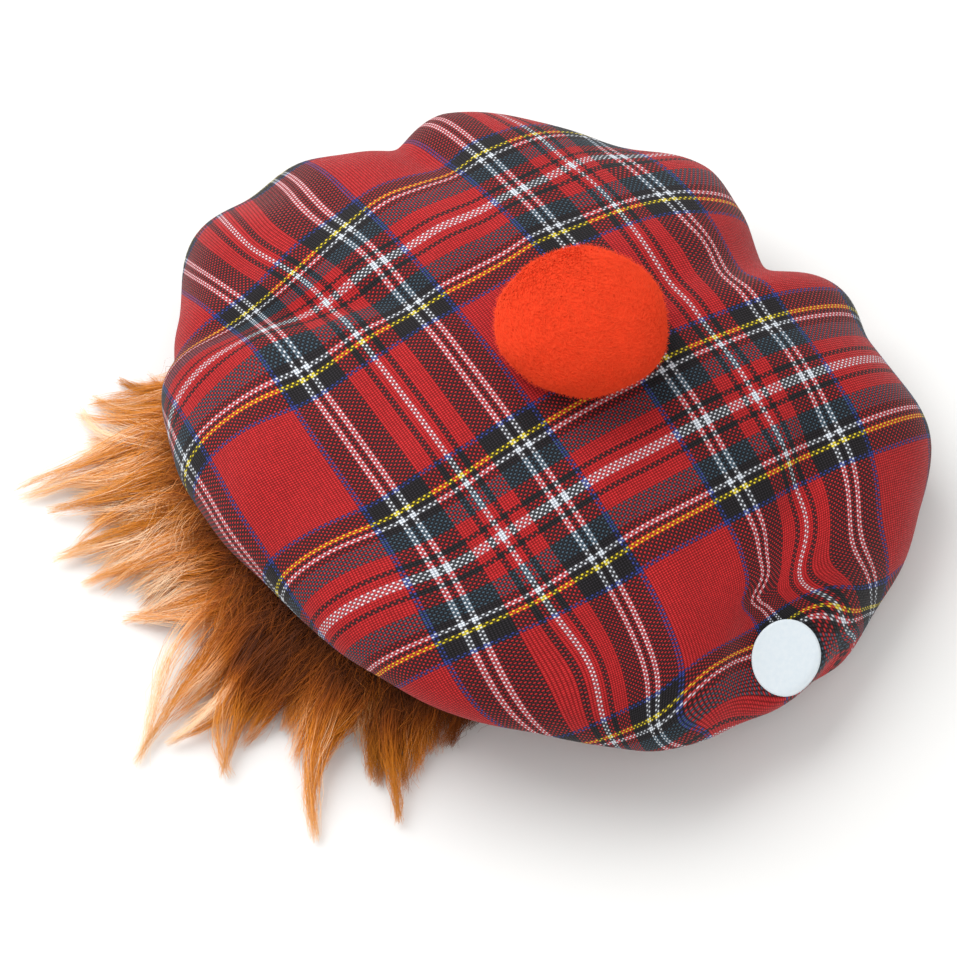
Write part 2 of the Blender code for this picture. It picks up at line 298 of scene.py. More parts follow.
# Strands end just below the crown's underside and just above the table.
CEILING_CELL = 3.0 * MM
CEILING_MARGIN = 4 * CEILING_CELL
CEILING_GAP = 1.0 * MM
FREE_HEIGHT = 1.0
FLOOR_GAP = 0.4 * MM

# The cloth at the edge slid as it was gathered: it comes from so far round (counter-clockwise) and so far
# outward of where it would lie, in mm.
Slip = namedtuple("Slip", "name bearing around outward")
SLIPS = (
    Slip("left_shoulder", 8, 0, 0),
    Slip("left_corner", 26, -9, 0),
    Slip("tuck", 40, 0, 0),
    Slip("over_fur_corner", 56, 9, 0),
    Slip("over_fur", 85, 11, 0),
    Slip("over_fur_end", 112, 14, 0),
    Slip("bottom_flat", 145, 10, 7),
    Slip("bottom_corner", 157, 9, 9),
    Slip("slope_to_disc", 168, 6, 16),
    Slip("disc", 182, 6, 12),
    Slip("beside_disc", 197, 1, 7),
    Slip("right_end", 225, 0, 0),
    Slip("front", 280, 0, 0),
    Slip("top", 330, 0, 0),
)
SLIP_FROM = 80.0 * MM
SLIP_TO = 130.0 * MM

# Where folds and seams pulled the cloth out of true: a place, the shift there and its spread, all in setts.
Pull = namedtuple("Pull", "name u v shift_u shift_v spread_u spread_v")
PULLS = (
    Pull("fold_at_disc", 0.85, 1.57, 0.14, 0.0, 0.20, 0.12),
    Pull("ridge_beside_disc", 0.86, 1.70, 0.0, 0.09, 0.18, 0.13),
    Pull("right_lines_drawn_back", 1.15, 1.53, 0.07, 0.0, 0.20, 0.18),
    Pull("bottom_edge_drawn_out", 0.22, 1.84, 0.07, 0.0, 0.13, 0.13),
    Pull("left_line_at_bottom", 0.04, 1.52, -0.045, 0.0, 0.13, 0.20),
    Pull("valley_left_of_disc", 0.45, 1.76, 0.0, 0.025, 0.18, 0.10),
    Pull("cloth_right_of_disc", 1.12, 1.78, 0.0, -0.02, 0.20, 0.10),
    Pull("edge_below_disc", 0.72, 2.06, 0.0, -0.12, 0.36, 0.13),
    Pull("kink_above_disc", 0.66, 1.57, 0.06, 0.0, 0.09, 0.04),
    Pull("bulge_above_kink", 0.74, 1.50, -0.03, 0.0, 0.09, 0.05),
    Pull("lobe_right_of_disc", 1.10, 1.93, -0.10, 0.0, 0.12, 0.09),
    Pull("yellow_at_right_edge", 1.32, 1.83, 0.0, -0.05, 0.12, 0.10),
    Pull("line_above_toorie", 1.00, 0.12, -0.035, 0.0, 0.10, 0.18),
    Pull("double_line_at_front", 1.22, 0.45, -0.03, 0.0, 0.10, 0.08),
    Pull("front_edge", 1.12, -0.04, 0.0, 0.045, 0.17, 0.10),
    Pull("yellow_on_front_slope", 1.42, 0.25, 0.0, -0.05, 0.25, 0.13),
    Pull("bend_over_fur", -0.40, 0.85, 0.0, 0.03, 0.20, 0.18),
    Pull("cloth_above_tuck", -0.20, -0.18, 0.0, -0.07, 0.30, 0.13),
    Pull("cloth_below_tuck", -0.28, -0.03, 0.0, 0.08, 0.33, 0.15),
    Pull("cloth_right_of_tuck", 0.45, -0.22, 0.0, 0.035, 0.25, 0.18),
)

# ---- Meshes ----


def mesh_from(name, points, faces):
    """A smooth-shaded mesh from rows of points and rows of corners, all faces with as many corners."""
    points = np.asarray(points, dtype=np.float32)
    faces = np.asarray(faces, dtype=np.int32)
    mesh = bpy.data.meshes.new(name)
    mesh.vertices.add(len(points))
    mesh.vertices.foreach_set("co", points.ravel())
    mesh.loops.add(faces.size)
    mesh.loops.foreach_set("vertex_index", faces.ravel())
    mesh.polygons.add(len(faces))
    mesh.polygons.foreach_set("loop_start", np.arange(0, faces.size, faces.shape[1], dtype=np.int32))
    mesh.update(calc_edges=True)
    mesh.validate()
    mesh.shade_smooth()
    return mesh


def lay_map(mesh, name, places):
    """Give every corner of a mesh the flat place of its point."""
    corner_points = np.zeros(len(mesh.loops), dtype=np.int32)
    mesh.loops.foreach_get("vertex_index", corner_points)
    layer = mesh.uv_layers.new(name=name)
    layer.data.foreach_set("uv", np.asarray(places, dtype=np.float32)[corner_points].ravel())


def in_scene(name, data):
    """A new object in the scene."""
    made = bpy.data.objects.new(name, data)
    bpy.context.scene.collection.objects.link(made)
    return made


def piece_from(mesh, material, node):
    """Make a mesh a piece of the hat, in the place of one CAD node."""
    mesh.materials.append(material)
    piece = in_scene(mesh.name, mesh)
    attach(piece, "root")
    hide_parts(node)
    return piece


def thicken(piece, thickness, side):
    """Give a sheet its thickness, outward of its faces where side is 1 and inward where it is -1."""
    solid = piece.modifiers.new("thickness", "SOLIDIFY")
    solid.thickness = thickness
    solid.offset = side


def grid_faces(rings, sectors, closed=False):
    """Quads between rings of points, and also from the last ring to the first where they are closed."""
    ring, sector = np.meshgrid(np.arange(rings if closed else rings - 1), np.arange(sectors), indexing="ij")
    after = (sector + 1) % sectors
    near = ring * sectors
    far = (ring + 1) % rings * sectors
    return np.stack([near + sector, far + sector, far + after, near + after], axis=-1).reshape(-1, 4)


def unit(vectors):
    """The same directions with a length of one."""
    return vectors / np.maximum(np.linalg.norm(vectors, axis=-1, keepdims=True), 1e-12)


def direction(bearing):
    """Unit vector in plan, as x and y, for a bearing in degrees."""
    angle = np.radians(bearing)
    return np.cos(angle), np.sin(angle)


def plan(bearing, reach):
    """Place in plan at a bearing and a reach."""
    return np.array(direction(bearing)) * reach


def smooth_step(low, high, value):
    """From 0 at low to 1 at high, with soft ends."""
    share = np.clip((value - low) / (high - low), 0.0, 1.0)
    return share * share * (3.0 - 2.0 * share)


# ---- Crown ----


def smooth_around(table, column, at):
    """Read a column of mm at any bearing, as a closed smooth curve through its rows."""
    bearings = [row.bearing for row in table]
    values = [getattr(row, column) * MM for row in table]
    low = np.concatenate([np.array(bearings[-2:]) - 360.0, bearings, np.array(bearings[:2]) + 360.0])
    rows = np.concatenate([values[-2:], values, values[:2]])
    at = np.asarray(at, dtype=float) % 360.0
    start = np.clip(np.searchsorted(low, at, side="right") - 1, 1, len(low) - 3)
    span = low[start + 1] - low[start]
    share = (at - low[start]) / span
    slope_in = (rows[start + 1] - rows[start - 1]) / (low[start + 1] - low[start - 1]) * span
    slope_out = (rows[start + 2] - rows[start]) / (low[start + 2] - low[start]) * span
    return (
        (2 * share**3 - 3 * share**2 + 1) * rows[start]
        + (share**3 - 2 * share**2 + share) * slope_in
        + (3 * share**2 - 2 * share**3) * rows[start + 1]
        + (share**3 - share**2) * slope_out
    )


def rim_at(bearing):
    """Reach and height of the crown's edge at a bearing round the button."""
    return smooth_around(RIM, "reach", bearing), smooth_around(RIM, "height", bearing)


def crease_depth(x, y):
    """How far the creases press the cloth in at a place in plan, measured from the button."""
    depth = np.zeros_like(x)
    for row in CREASES:
        start = plan(row.from_bearing, row.from_reach) * MM
        run = plan(row.to_bearing, row.to_reach) * MM - start
        length = math.hypot(*run)
        along = ((x - start[0]) * run[0] + (y - start[1]) * run[1]) / length
        across = ((x - start[0]) * run[1] - (y - start[1]) * run[0]) / length
        beyond = np.maximum(np.maximum(-along, along - length), 0.0)
        profile = np.exp(-((across / (row.width * MM)) ** 2))
        depth += row.depth * MM * profile * np.exp(-((beyond / CREASE_END_FADE) ** 2))
    return depth


def top_points(bearing, share):
    """Places on the crown's top at shares of the way from the button to the rim."""
    reach, height = rim_at(bearing)
    out = np.sin(share * math.pi / 2)
    level = np.maximum(1.0 - out**DOME_FALL, 0.0) ** (1.0 / DOME_ROUNDNESS)
    dir_x, dir_y = direction(bearing)
    x = dir_x * reach * out
    y = dir_y * reach * out
    z = height + (BUTTON_HEIGHT - height) * level
    sideways = out**ROUND_OVER
    press = crease_depth(x, y)
    x = x - dir_x * press * sideways
    y = y - dir_y * press * sideways
    z = z - press * (1.0 - sideways)
    return np.stack([BUTTON_X + x, BUTTON_Y + y, z], axis=-1)


def under_points(bearing, share):
    """Places on the crown's underside at shares of the way from the rim to the band."""
    rim = top_points(bearing, np.ones_like(bearing))
    out_x = rim[..., 0] - BAND_X
    out_y = rim[..., 1] - BAND_Y
    height = rim[..., 2]
    hem_radius = BAND_OUTER_RADIUS + 2 * GAP
    hem_height = BAND_HEIGHT + GAP
    rim_radius = np.hypot(out_x, out_y)
    roll = np.minimum(ROLL_DEPTH, ROLL_SHARE_OF_HEIGHT * height)
    radius = rim_radius + (hem_radius - rim_radius) * share
    droop = ROLL_FULLNESS * np.sqrt(share) * (1.0 - share)
    z = height + (hem_height - height) * share**2 - roll * droop
    x = BAND_X + out_x / rim_radius * radius
    y = BAND_Y + out_y / rim_radius * radius
    return np.stack([x, y, z], axis=-1)


def skin_normals(points):
    """Outward directions of a skin of rings that close on themselves."""
    outward = np.gradient(points, axis=0)
    around = np.roll(points, -1, axis=1) - np.roll(points, 1, axis=1)
    return unit(np.cross(outward, around))


def slack(x, y):
    """Low swells of cloth that hangs loose: a sum of waves that run every way across the crown."""
    chance = np.random.default_rng(SLACK_SEED)
    swell = np.zeros_like(x)
    for _ in range(SLACK_WAVES):
        length = chance.uniform(SLACK_SHORTEST, SLACK_LONGEST)
        run_x, run_y = direction(chance.uniform(0.0, 360.0))
        swell += np.sin(math.tau * (x * run_x + y * run_y) / length + chance.uniform(0.0, math.tau))
    return SLACK_DEPTH * swell / math.sqrt(SLACK_WAVES)


def gather_ridges(bearing):
    """Ridges of the gathered cloth round the band: 1 on a ridge, 0 in a fold, unevenly spaced."""
    turn = np.radians(bearing)
    phase = GATHERS * turn + 1.5 * np.sin(3 * turn + 1.0) + 1.2 * np.sin(7 * turn)
    phase += 0.9 * np.sin(13 * turn + 2.0)
    return np.abs(np.cos(phase / 2)) ** 0.7


def crown_skin():
    """The crown's outer skin as rings of points, with the way from the button along the cloth to each."""
    bearing = np.arange(CROWN_SECTORS)[None, :] * 360.0 / CROWN_SECTORS
    top_share = (np.arange(TOP_RINGS) + 1.0) / TOP_RINGS
    under_share = ((np.arange(UNDER_RINGS) + 1.0) / UNDER_RINGS) ** UNDER_RING_CROWDING
    rings = [top_points(bearing, share) for share in top_share]
    rings += [under_points(bearing, share) for share in under_share]
    points = np.concatenate(rings)
    steps = np.linalg.norm(np.diff(points, axis=0), axis=-1)
    first = np.linalg.norm(points[0] - (BUTTON_X, BUTTON_Y, BUTTON_HEIGHT), axis=-1)
    way = np.concatenate([first[None], first + np.cumsum(steps, axis=0)])
    return bearing, under_share, points, way


def loosen(points, bearing, under_share):
    """Give the skin its slack on top, clear of the toorie, and its gathers on the underside."""
    normals = skin_normals(points)
    lift = slack(points[..., 0], points[..., 1])
    settle = np.linalg.norm(points[..., :2] - (BUTTON_X, BUTTON_Y), axis=-1)
    lift *= smooth_step(SLACK_FREE_FROM, SLACK_FREE_TO, settle)
    ridges = gather_ridges(bearing)
    for i, share in enumerate(under_share):
        hold = smooth_step(GATHER_REACH - GATHER_FADE, GATHER_REACH + GATHER_FADE, share)
        hold *= 1.0 - HEM_HOLD * share**8
        row = TOP_RINGS + i
        lift[row] = lift[row] * (1.0 - share) + GATHER_DEPTH * hold * (ridges[0] - 0.5)
    return points + normals * lift[..., None]


def flatten_at_patch(points):
    """Let the cloth lie flat under the paper patch, and fade that out into its own curve."""
    dir_x, dir_y = direction(PATCH_BEARING)
    top = points[:TOP_RINGS]
    spot_x = BUTTON_X + dir_x * PATCH_REACH
    spot_y = BUTTON_Y + dir_y * PATCH_REACH
    nearest = np.argmin(np.hypot(top[..., 0] - spot_x, top[..., 1] - spot_y))
    heart = top.reshape(-1, 3)[nearest]
    lean = math.radians(PATCH_LEAN)
    facing = np.array([dir_x * math.sin(lean), dir_y * math.sin(lean), math.cos(lean)])
    proud = (points - heart) @ facing
    hold = 1.0 - smooth_step(PATCH_FLAT_RADIUS, PATCH_FADE_RADIUS, np.linalg.norm(points - heart, axis=-1))
    return points - facing * (proud * hold)[..., None]


def cloth_places(bearing, way):
    """Where each point of the crown lies on the flat cloth, in metres across its warp and its weft."""
    hold = smooth_step(SLIP_FROM, SLIP_TO, way)
    around = smooth_around(SLIPS, "around", bearing) * hold
    outward = smooth_around(SLIPS, "outward", bearing) * hold
    dir_x, dir_y = direction(bearing + np.degrees(around / way))
    flat_x = (way + outward) * dir_x
    flat_y = (way + outward) * dir_y
    u_x, u_y = direction(U_BEARING)
    v_x, v_y = direction(V_BEARING)
    area = u_x * v_y - u_y * v_x
    u = BUTTON_U + (flat_x * v_y - flat_y * v_x) / area / SETT_ALONG_U
    v = BUTTON_V + (u_x * flat_y - u_y * flat_x) / area / SETT_ALONG_V
    shift_u = np.zeros_like(u)
    shift_v = np.zeros_like(v)
    for pull in PULLS:
        beside = (u - pull.u) / pull.spread_u
        beyond = (v - pull.v) / pull.spread_v
        near = np.exp(-(beside**2) - beyond**2)
        shift_u += pull.shift_u * near
        shift_v += pull.shift_v * near
    return np.stack([(u + shift_u) * SETT_ALONG_U, (v + shift_v) * SETT_ALONG_V], axis=-1)


def make_crown(material):
    """The crown: one round of cloth from the button over the edge to the band."""
    bearing, under_share, points, way = crown_skin()
    places = cloth_places(bearing, way)
    points = flatten_at_patch(loosen(points, bearing, under_share))
    inward = unit(points[-1, :, :2] - (BAND_X, BAND_Y)) * HEM_WIDTH
    hem = points[-1].copy()
    hem[:, :2] -= inward
    hem[:, 2] = BAND_HEIGHT + GAP
    rings = np.concatenate([points, hem[None]])
    places = np.concatenate([places, places[-1:] + (0.0, HEM_WIDTH)])
    mesh = mesh_from("crown_cloth", rings.reshape(-1, 3), grid_faces(len(rings), CROWN_SECTORS))
    lay_map(mesh, "cloth", places.reshape(-1, 2))
    crown = piece_from(mesh, material, "crown")
    thicken(crown, CLOTH_THICKNESS, -1.0)
    return crown, points


# ---- Headband ----


def band_outline():
    """Points round the band's section: how far out from its middle, and how far up from the table."""
    half = BAND_WALL / 2
    up = np.linspace(half, BAND_HEIGHT - half, BAND_SIDE_ROWS)
    turn = np.linspace(0.0, math.pi, BAND_EDGE_ROWS + 2)[1:-1]
    outside = np.stack([np.full_like(up, half), up], axis=1)
    over = np.stack([half * np.cos(turn), BAND_HEIGHT - half + half * np.sin(turn)], axis=1)
    inside = np.stack([np.full_like(up, -half), up[::-1]], axis=1)
    under = np.stack([-half * np.cos(turn), half - half * np.sin(turn)], axis=1)
    return np.concatenate([outside, over, inside, under])


def make_headband(material):
    """The headband: doubled cloth in a closed ring, with upright ruches that die out at its sewn top."""
    outline = band_outline()
    turn = np.arange(BAND_SECTORS) * math.tau / BAND_SECTORS
    middle = BAND_OUTER_RADIUS - BAND_WALL / 2
    ripple = np.sin(RUCHES * turn + 1.3 * np.sin(5 * turn) + 0.8 * np.sin(11 * turn + 1.0))
    rows = []
    for across, up in outline:
        hold = 1.0 - smooth_step(RUCHE_FADE_FROM, 1.0, up / BAND_HEIGHT)
        radius = middle + across - RUCHE_DEPTH * hold * (0.5 + 0.5 * ripple) * np.sign(across)
        x = BAND_X + radius * np.cos(turn)
        y = BAND_Y + radius * np.sin(turn)
        rows.append(np.stack([x, y, np.full_like(turn, up)], axis=-1))
    faces = grid_faces(len(rows), BAND_SECTORS, closed=True)
    mesh = mesh_from("band_cloth_strip", np.reshape(rows, (-1, 3)), faces)
    places = np.stack(
        np.broadcast_arrays((turn * middle)[None, :], outline[:, 1:] + BAND_CLOTH_START), axis=-1,
    )
    lay_map(mesh, "cloth", places.reshape(-1, 2))
    return piece_from(mesh, material, "headband")


# ---- Paper patch ----


def make_patch(skin, material):
    """The round paper patch: it lies on the cloth and bends with it."""
    rings, sectors = skin.shape[:2]
    cloth = BVHTree.FromPolygons(skin.reshape(-1, 3).tolist(), grid_faces(rings, sectors).tolist())
    dir_x, dir_y = direction(PATCH_BEARING)
    above = Vector((BUTTON_X + dir_x * PATCH_REACH, BUTTON_Y + dir_y * PATCH_REACH, 2 * BUTTON_HEIGHT))
    middle = cloth.ray_cast(above, Vector((0, 0, -1)))[0]
    probes = [middle + Vector((dx, dy, 0)) * PATCH_RADIUS for dx, dy in ((1, 0), (0, 1), (-1, 0), (0, -1))]
    landed = [cloth.find_nearest(probe)[0] for probe in probes]
    facing = (landed[0] - landed[2]).cross(landed[1] - landed[3]).normalized()
    side = facing.cross(Vector((0, 0, 1))).normalized()
    rise = side.cross(facing)
    points = []
    for i in range(PATCH_RINGS):
        radius = PATCH_RADIUS * (i + PATCH_FIRST_RING) / (PATCH_RINGS - 1 + PATCH_FIRST_RING)
        for j in range(PATCH_SECTORS):
            turn = math.tau * j / PATCH_SECTORS
            spot = middle + side * (radius * math.cos(turn)) + rise * (radius * math.sin(turn))
            hit = cloth.ray_cast(spot + facing * PATCH_PROBE_START, -facing)[0]
            points.append(hit + facing * PATCH_LIFT)
    count = len(points)
    heart = sum((points[j] for j in range(PATCH_SECTORS)), Vector()) / PATCH_SECTORS
    points.append(heart)
    mesh = bpy.data.meshes.new("paper_patch")
    fan = [(count, j, (j + 1) % PATCH_SECTORS) for j in range(PATCH_SECTORS)]
    faces = grid_faces(PATCH_RINGS, PATCH_SECTORS).tolist() + fan
    mesh.from_pydata([tuple(point) for point in points], [], faces)
    mesh.shade_smooth()
    patch = piece_from(mesh, material, "press_disc")
    thicken(patch, PATCH_THICKNESS, 1.0 if mesh.polygons[0].normal.dot(facing) > 0 else -1.0)


# ---- Fibres, for the toorie and the fur ----


def ribbons(name, lines, facings, widths, tones, ways, rolls, softness):
    """Flat fibres in one mesh, from rows of points: fibres by points by 3, turned to face along facings.

    Their shading leans towards the facings by the softness, as round fibres in a mass look.
    """
    count, points = lines.shape[:2]
    along = unit(np.gradient(lines, axis=1))
    side = unit(np.cross(along, facings))
    other = unit(np.cross(along, side))
    side = side * np.cos(rolls)[:, None, None] + other * np.sin(rolls)[:, None, None]
    half = (widths / 2)[..., None]
    corners = np.stack([lines - side * half, lines + side * half], axis=2).reshape(-1, 3)
    first = (np.arange(count)[:, None] * points + np.arange(points - 1)[None, :]) * 2
    faces = np.stack([first, first + 1, first + 3, first + 2], axis=-1).reshape(-1, 4)
    mesh = mesh_from(name, corners, faces)
    places = np.stack([np.broadcast_to(tones[:, None], ways.shape), ways], axis=-1).reshape(-1, 2)
    lay_map(mesh, "fibre", np.repeat(places, 2, axis=0))
    flat = unit(np.cross(side, along))
    shading = unit(flat * (1.0 - softness) + facings * softness)
    mesh.normals_split_custom_set_from_vertices(np.repeat(shading.reshape(-1, 3), 2, axis=0).tolist())
    return mesh


# ---- Toorie ----


def toorie_form(turn, angle, inset):
    """Place on the toorie's ball at a turn and a slope angle, sunk below its full form by an inset."""
    foot = BUTTON_HEIGHT + GAP - TOORIE_SINK
    lowest = -math.acos(TOORIE_FOOT_RADIUS / TOORIE_RADIUS)
    squeeze = TOORIE_HEIGHT / (1.0 - math.sin(lowest))
    heart = foot - squeeze * math.sin(lowest)
    radius = (TOORIE_RADIUS - inset) * np.cos(angle)
    up = heart + (squeeze - inset) * np.sin(angle)

    lean = math.radians(TOORIE_LEAN)
    turn_from_lean = turn - math.radians(TOORIE_LEAN_BEARING)
    along = radius * np.cos(turn_from_lean)
    aside = radius * np.sin(turn_from_lean)
    out = along * math.cos(lean) + (up - foot) * math.sin(lean)
    height = foot + (up - foot) * math.cos(lean) - along * math.sin(lean)
    to_x, to_y = direction(TOORIE_LEAN_BEARING)
    x = BUTTON_X + to_x * out - to_y * aside
    y = BUTTON_Y + to_y * out + to_x * aside
    return np.stack([x, y, np.maximum(height, TOORIE_LOWEST)], axis=-1)


def toorie_lumps(turn, angle):
    """Low unevenness of a trimmed yarn ball, which dies out at its pole."""
    broad = np.sin(3 * turn + 1.0) * np.cos(2 * angle) + 0.6 * np.sin(5 * turn + 4 * angle)
    return TOORIE_LUMPS * (broad + 0.4 * np.sin(8 * turn - 6 * angle)) * np.cos(angle) ** 2


def nap_way(root, outward, chance):
    """The way the pile lies: in broad drifts, more round the ball than up it, each fibre well astray."""
    x, y, z = (root / TOORIE_RADIUS).T
    drift = np.stack([
        np.sin(2.1 * y + 1.0) + 0.4,
        np.sin(1.7 * z + 2.0 * x),
        np.sin(2.3 * x + 0.5) - 0.6,
    ], axis=-1)
    way = (unit(drift) + chance.normal(0.0, NAP_STRAYING, drift.shape)) * (1.0, 1.0, NAP_STEEPNESS)
    return unit(way - outward * np.sum(way * outward, axis=-1, keepdims=True))


def make_toorie(material):
    """The toorie: a firm ball of yarn under a velvety pile, with a few strays at its edge."""
    tucked = -math.acos(TOORIE_TUCK_RADIUS / TOORIE_RADIUS)
    turn, angle = np.meshgrid(
        np.arange(BALL_SECTORS) * math.tau / BALL_SECTORS,
        np.linspace(tucked, math.pi / 2 - 0.01, BALL_RINGS),
    )
    points = toorie_form(turn, angle, NAP_DEPTH + toorie_lumps(turn, angle))
    mesh = mesh_from("toorie_ball", points.reshape(-1, 3), grid_faces(BALL_RINGS, BALL_SECTORS))
    lay_map(mesh, "fibre", np.full((BALL_RINGS * BALL_SECTORS, 2), BALL_TONE))
    ball = piece_from(mesh, material, "toorie")

    chance = np.random.default_rng(TOORIE_SEED)
    count = NAP_FIBRES + STRAY_FIBRES
    stray = np.arange(count) >= NAP_FIBRES
    turn = chance.uniform(0.0, math.tau, count)
    lowest = -math.acos(TOORIE_FOOT_RADIUS / TOORIE_RADIUS)
    angle = np.arcsin(chance.uniform(math.sin(lowest), 1.0, count))
    lumps = toorie_lumps(turn, angle)
    root = toorie_form(turn, angle, NAP_DEPTH * 1.1 + lumps)
    outward = unit(toorie_form(turn, angle, lumps) - root)
    way = nap_way(root, outward, chance)
    length = np.where(stray, STRAY_LENGTH, NAP_LENGTH) * chance.uniform(0.55, 1.0, count)
    rise = np.where(stray, STRAY_LENGTH, NAP_RISE) * chance.uniform(0.5, 1.0, count)
    lie = np.where(stray, 0.5, 1.0) * length
    middle = root + way * (0.45 * lie)[:, None] + outward * (0.75 * rise)[:, None]
    end = root + way * lie[:, None] + outward * rise[:, None] * np.where(stray, 1.0, 0.9)[:, None]
    lines = np.stack([root, middle, end], axis=1)
    facings = np.repeat(unit(outward + (0.0, 0.0, PILE_LIGHT))[:, None, :], 3, axis=1)
    widths = NAP_WIDTH * np.where(stray, 0.5, 1.0)[:, None] * np.array([1.0, 1.0, 0.3])[None, :]
    # The fibres' roots take the darker red at the start of the pile's ramp: painted shade deep in the pile.
    ways = np.broadcast_to(np.array([0.25, 0.65, 1.0]), (count, 3))
    rolls = chance.normal(0.0, 0.1, count)
    tones = chance.uniform(*NAP_TONES, count)
    mesh = ribbons("toorie_pile", lines, facings, widths, tones, ways, rolls, NAP_SOFTNESS)
    piece_from(mesh, material, "toorie")


# ---- Fur ----


def ceiling_over(skin):
    """How high the fur may stand at a place in plan: just below the crown's underside, or free."""
    under = skin[TOP_RINGS - 1:].reshape(-1, 3)
    low = under[:, :2].min(axis=0) - CEILING_MARGIN
    high = under[:, :2].max(axis=0) + CEILING_MARGIN
    cells = np.ceil((high - low) / CEILING_CELL).astype(int) + 1
    grid = np.full(tuple(cells), FREE_HEIGHT)
    at = ((under[:, :2] - low) / CEILING_CELL).astype(int)
    for slide_x in (-1, 0, 1):
        for slide_y in (-1, 0, 1):
            np.minimum.at(grid, (at[:, 0] + slide_x, at[:, 1] + slide_y), under[:, 2])

    def ceiling(x, y):
        i = np.clip(((x - low[0]) / CEILING_CELL).astype(int), 0, cells[0] - 1)
        j = np.clip(((y - low[1]) / CEILING_CELL).astype(int), 0, cells[1] - 1)
        return grid[i, j] - CEILING_GAP

    return ceiling


def wisp_lines(
    chance, bearing, reach, lean, width, bulge, count, ceiling, drawn_in, crimp_depth=CRIMP, ragged=RAGGED,
):
    """Strands of one wisp, which run and wave together from the band to a more or less pointed tip."""
    root_radius = BAND_OUTER_RADIUS + GAP
    tip = plan(bearing, reach)
    lead = plan(bearing + lean, 1.0)
    bend = tip - WISP_BEND * (reach - root_radius) * lead
    root = unit(bend) * root_radius

    def each(low, high):
        return chance.uniform(low, high, count)[:, None]

    cut = 1.0 - np.minimum(np.abs(chance.normal(0.0, ragged, count)), 0.5)
    share = np.linspace(0.0, 1.0, STRAND_POINTS)[None, :] * cut[:, None]
    flat = sum(
        weight[..., None] * point
        for weight, point in (((1 - share) ** 2, root), (2 * share * (1 - share), bend), (share**2, tip))
    )
    across = np.array([-lead[1], lead[0]])
    drawn = 1.0 - drawn_in * smooth_step(0.35, 1.0, share)
    spread = np.clip(chance.normal(0.0, WISP_SPREAD, count), -1.1, 1.1)[:, None] * width * drawn
    turns = WISP_TURNS + chance.normal(0.0, 0.12)
    start = WAVE_DRIFT * math.radians(bearing) + chance.normal(0.0, 0.5)
    together = WISP_WAVE * chance.uniform(0.4, 1.0) * share * np.sin(math.tau * turns * share + start)
    astray = STRAND_STRAYING * np.exp(chance.normal(0.0, 0.5, count))[:, None]
    apart_start = each(0.0, math.tau)
    apart = astray * WISP_WAVE * share * np.sin(math.tau * STRAND_TURNS * share + apart_start)
    crimps = each(3.0, 6.0)
    crimp_start = each(0.0, math.tau)
    crimp = crimp_depth * np.sin(math.tau * crimps * share + crimp_start) * smooth_step(0.0, 0.3, share)
    flat = flat + across * (spread + together + apart + crimp)[..., None]

    root_height = each(ROOT_LOW, ROOT_HIGH)
    tip_height = chance.uniform(0.6, 3.0) * MM + each(0.0, 2.0) * MM
    swell = bulge * (0.5 + 0.5 * each(0.0, 1.0)) * np.sin(math.pi * share)
    height = root_height * (1.0 - share) ** 1.3 + tip_height * share + swell + 0.6 * crimp
    x = BAND_X + flat[..., 0]
    y = BAND_Y + flat[..., 1]
    height = np.clip(height, FLOOR_GAP, np.maximum(ceiling(x, y), FLOOR_GAP))
    return np.stack([x, y, height], axis=-1), share


def fur_body_at(bearing):
    """How far the fur reaches between its locks, how it leans there and how light it is."""
    gaps = [FUR_START_BEARING] + [lock.gap_bearing for lock in LOCKS]
    reach = np.interp(bearing, gaps, [FUR_START_REACH] + [lock.gap_reach * MM for lock in LOCKS])
    bearings = [lock.bearing for lock in LOCKS]
    lean = np.interp(bearing, bearings, [lock.lean for lock in LOCKS])
    shade = np.interp(bearing, bearings, [lock.shade for lock in LOCKS])
    return reach, lean, shade


def fur_piece(name, chance, rows, material):
    """Join wisps in one piece, and tell how far out along the pile each point's colour is."""
    lines, share, tones = (np.concatenate(parts) for parts in zip(*rows))
    count = len(lines)
    from_axis = lines - (BAND_X, BAND_Y, 0.0)
    from_axis[..., 2] = 0.0
    bearing = np.degrees(np.arctan2(from_axis[..., 1], from_axis[..., 0]))
    reach = np.linalg.norm(from_axis, axis=-1)
    # The nearer to the band, the darker the colour: painted shade under the crown's edge.
    out = (reach - BAND_OUTER_RADIUS) / FUR_DEPTH
    # A patch just below the crown's edge is darkened further: painted shade.
    beside = (bearing - PAINTED_SHADE_BEARING) / PAINTED_SHADE_BREADTH
    beyond = (reach - PAINTED_SHADE_REACH) / PAINTED_SHADE_LENGTH
    painted_shade = PAINTED_SHADE_DARKNESS * np.exp(-(beside**2) - beyond**2)
    ways = np.clip(OUT_WEIGHT * out + (1.0 - OUT_WEIGHT) * share - painted_shade, 0.0, 1.0)
    facings = unit(np.array([0.0, 0.0, 1.0]) + STRAND_LEAN_OUT * unit(from_axis))
    thickness = chance.uniform(*STRAND_THICKNESS, count)[:, None]
    taper = 1.0 - np.linspace(0.0, 1.0, STRAND_POINTS) ** STRAND_TAPER
    widths = thickness * (STRAND_TIP_WIDTH + (STRAND_WIDTH - STRAND_TIP_WIDTH) * taper)[None, :]
    rolls = np.clip(chance.normal(0.0, STRAND_ROLL, count), -1.0, 1.0)
    mesh = ribbons(name, lines, facings, widths, tones, ways, rolls, STRAND_SOFTNESS)
    piece_from(mesh, material, "fur_fringe")


def shade_strands(chance, shade, count):
    """Tones of the strands of one wisp: its own shade with a little chance for each strand."""
    wisp_tone = shade + chance.normal(0.0, WISP_TONE_CHANCE)
    return np.clip(wisp_tone + chance.normal(0.0, STRAND_TONE_CHANCE, count), 0.0, 1.0)


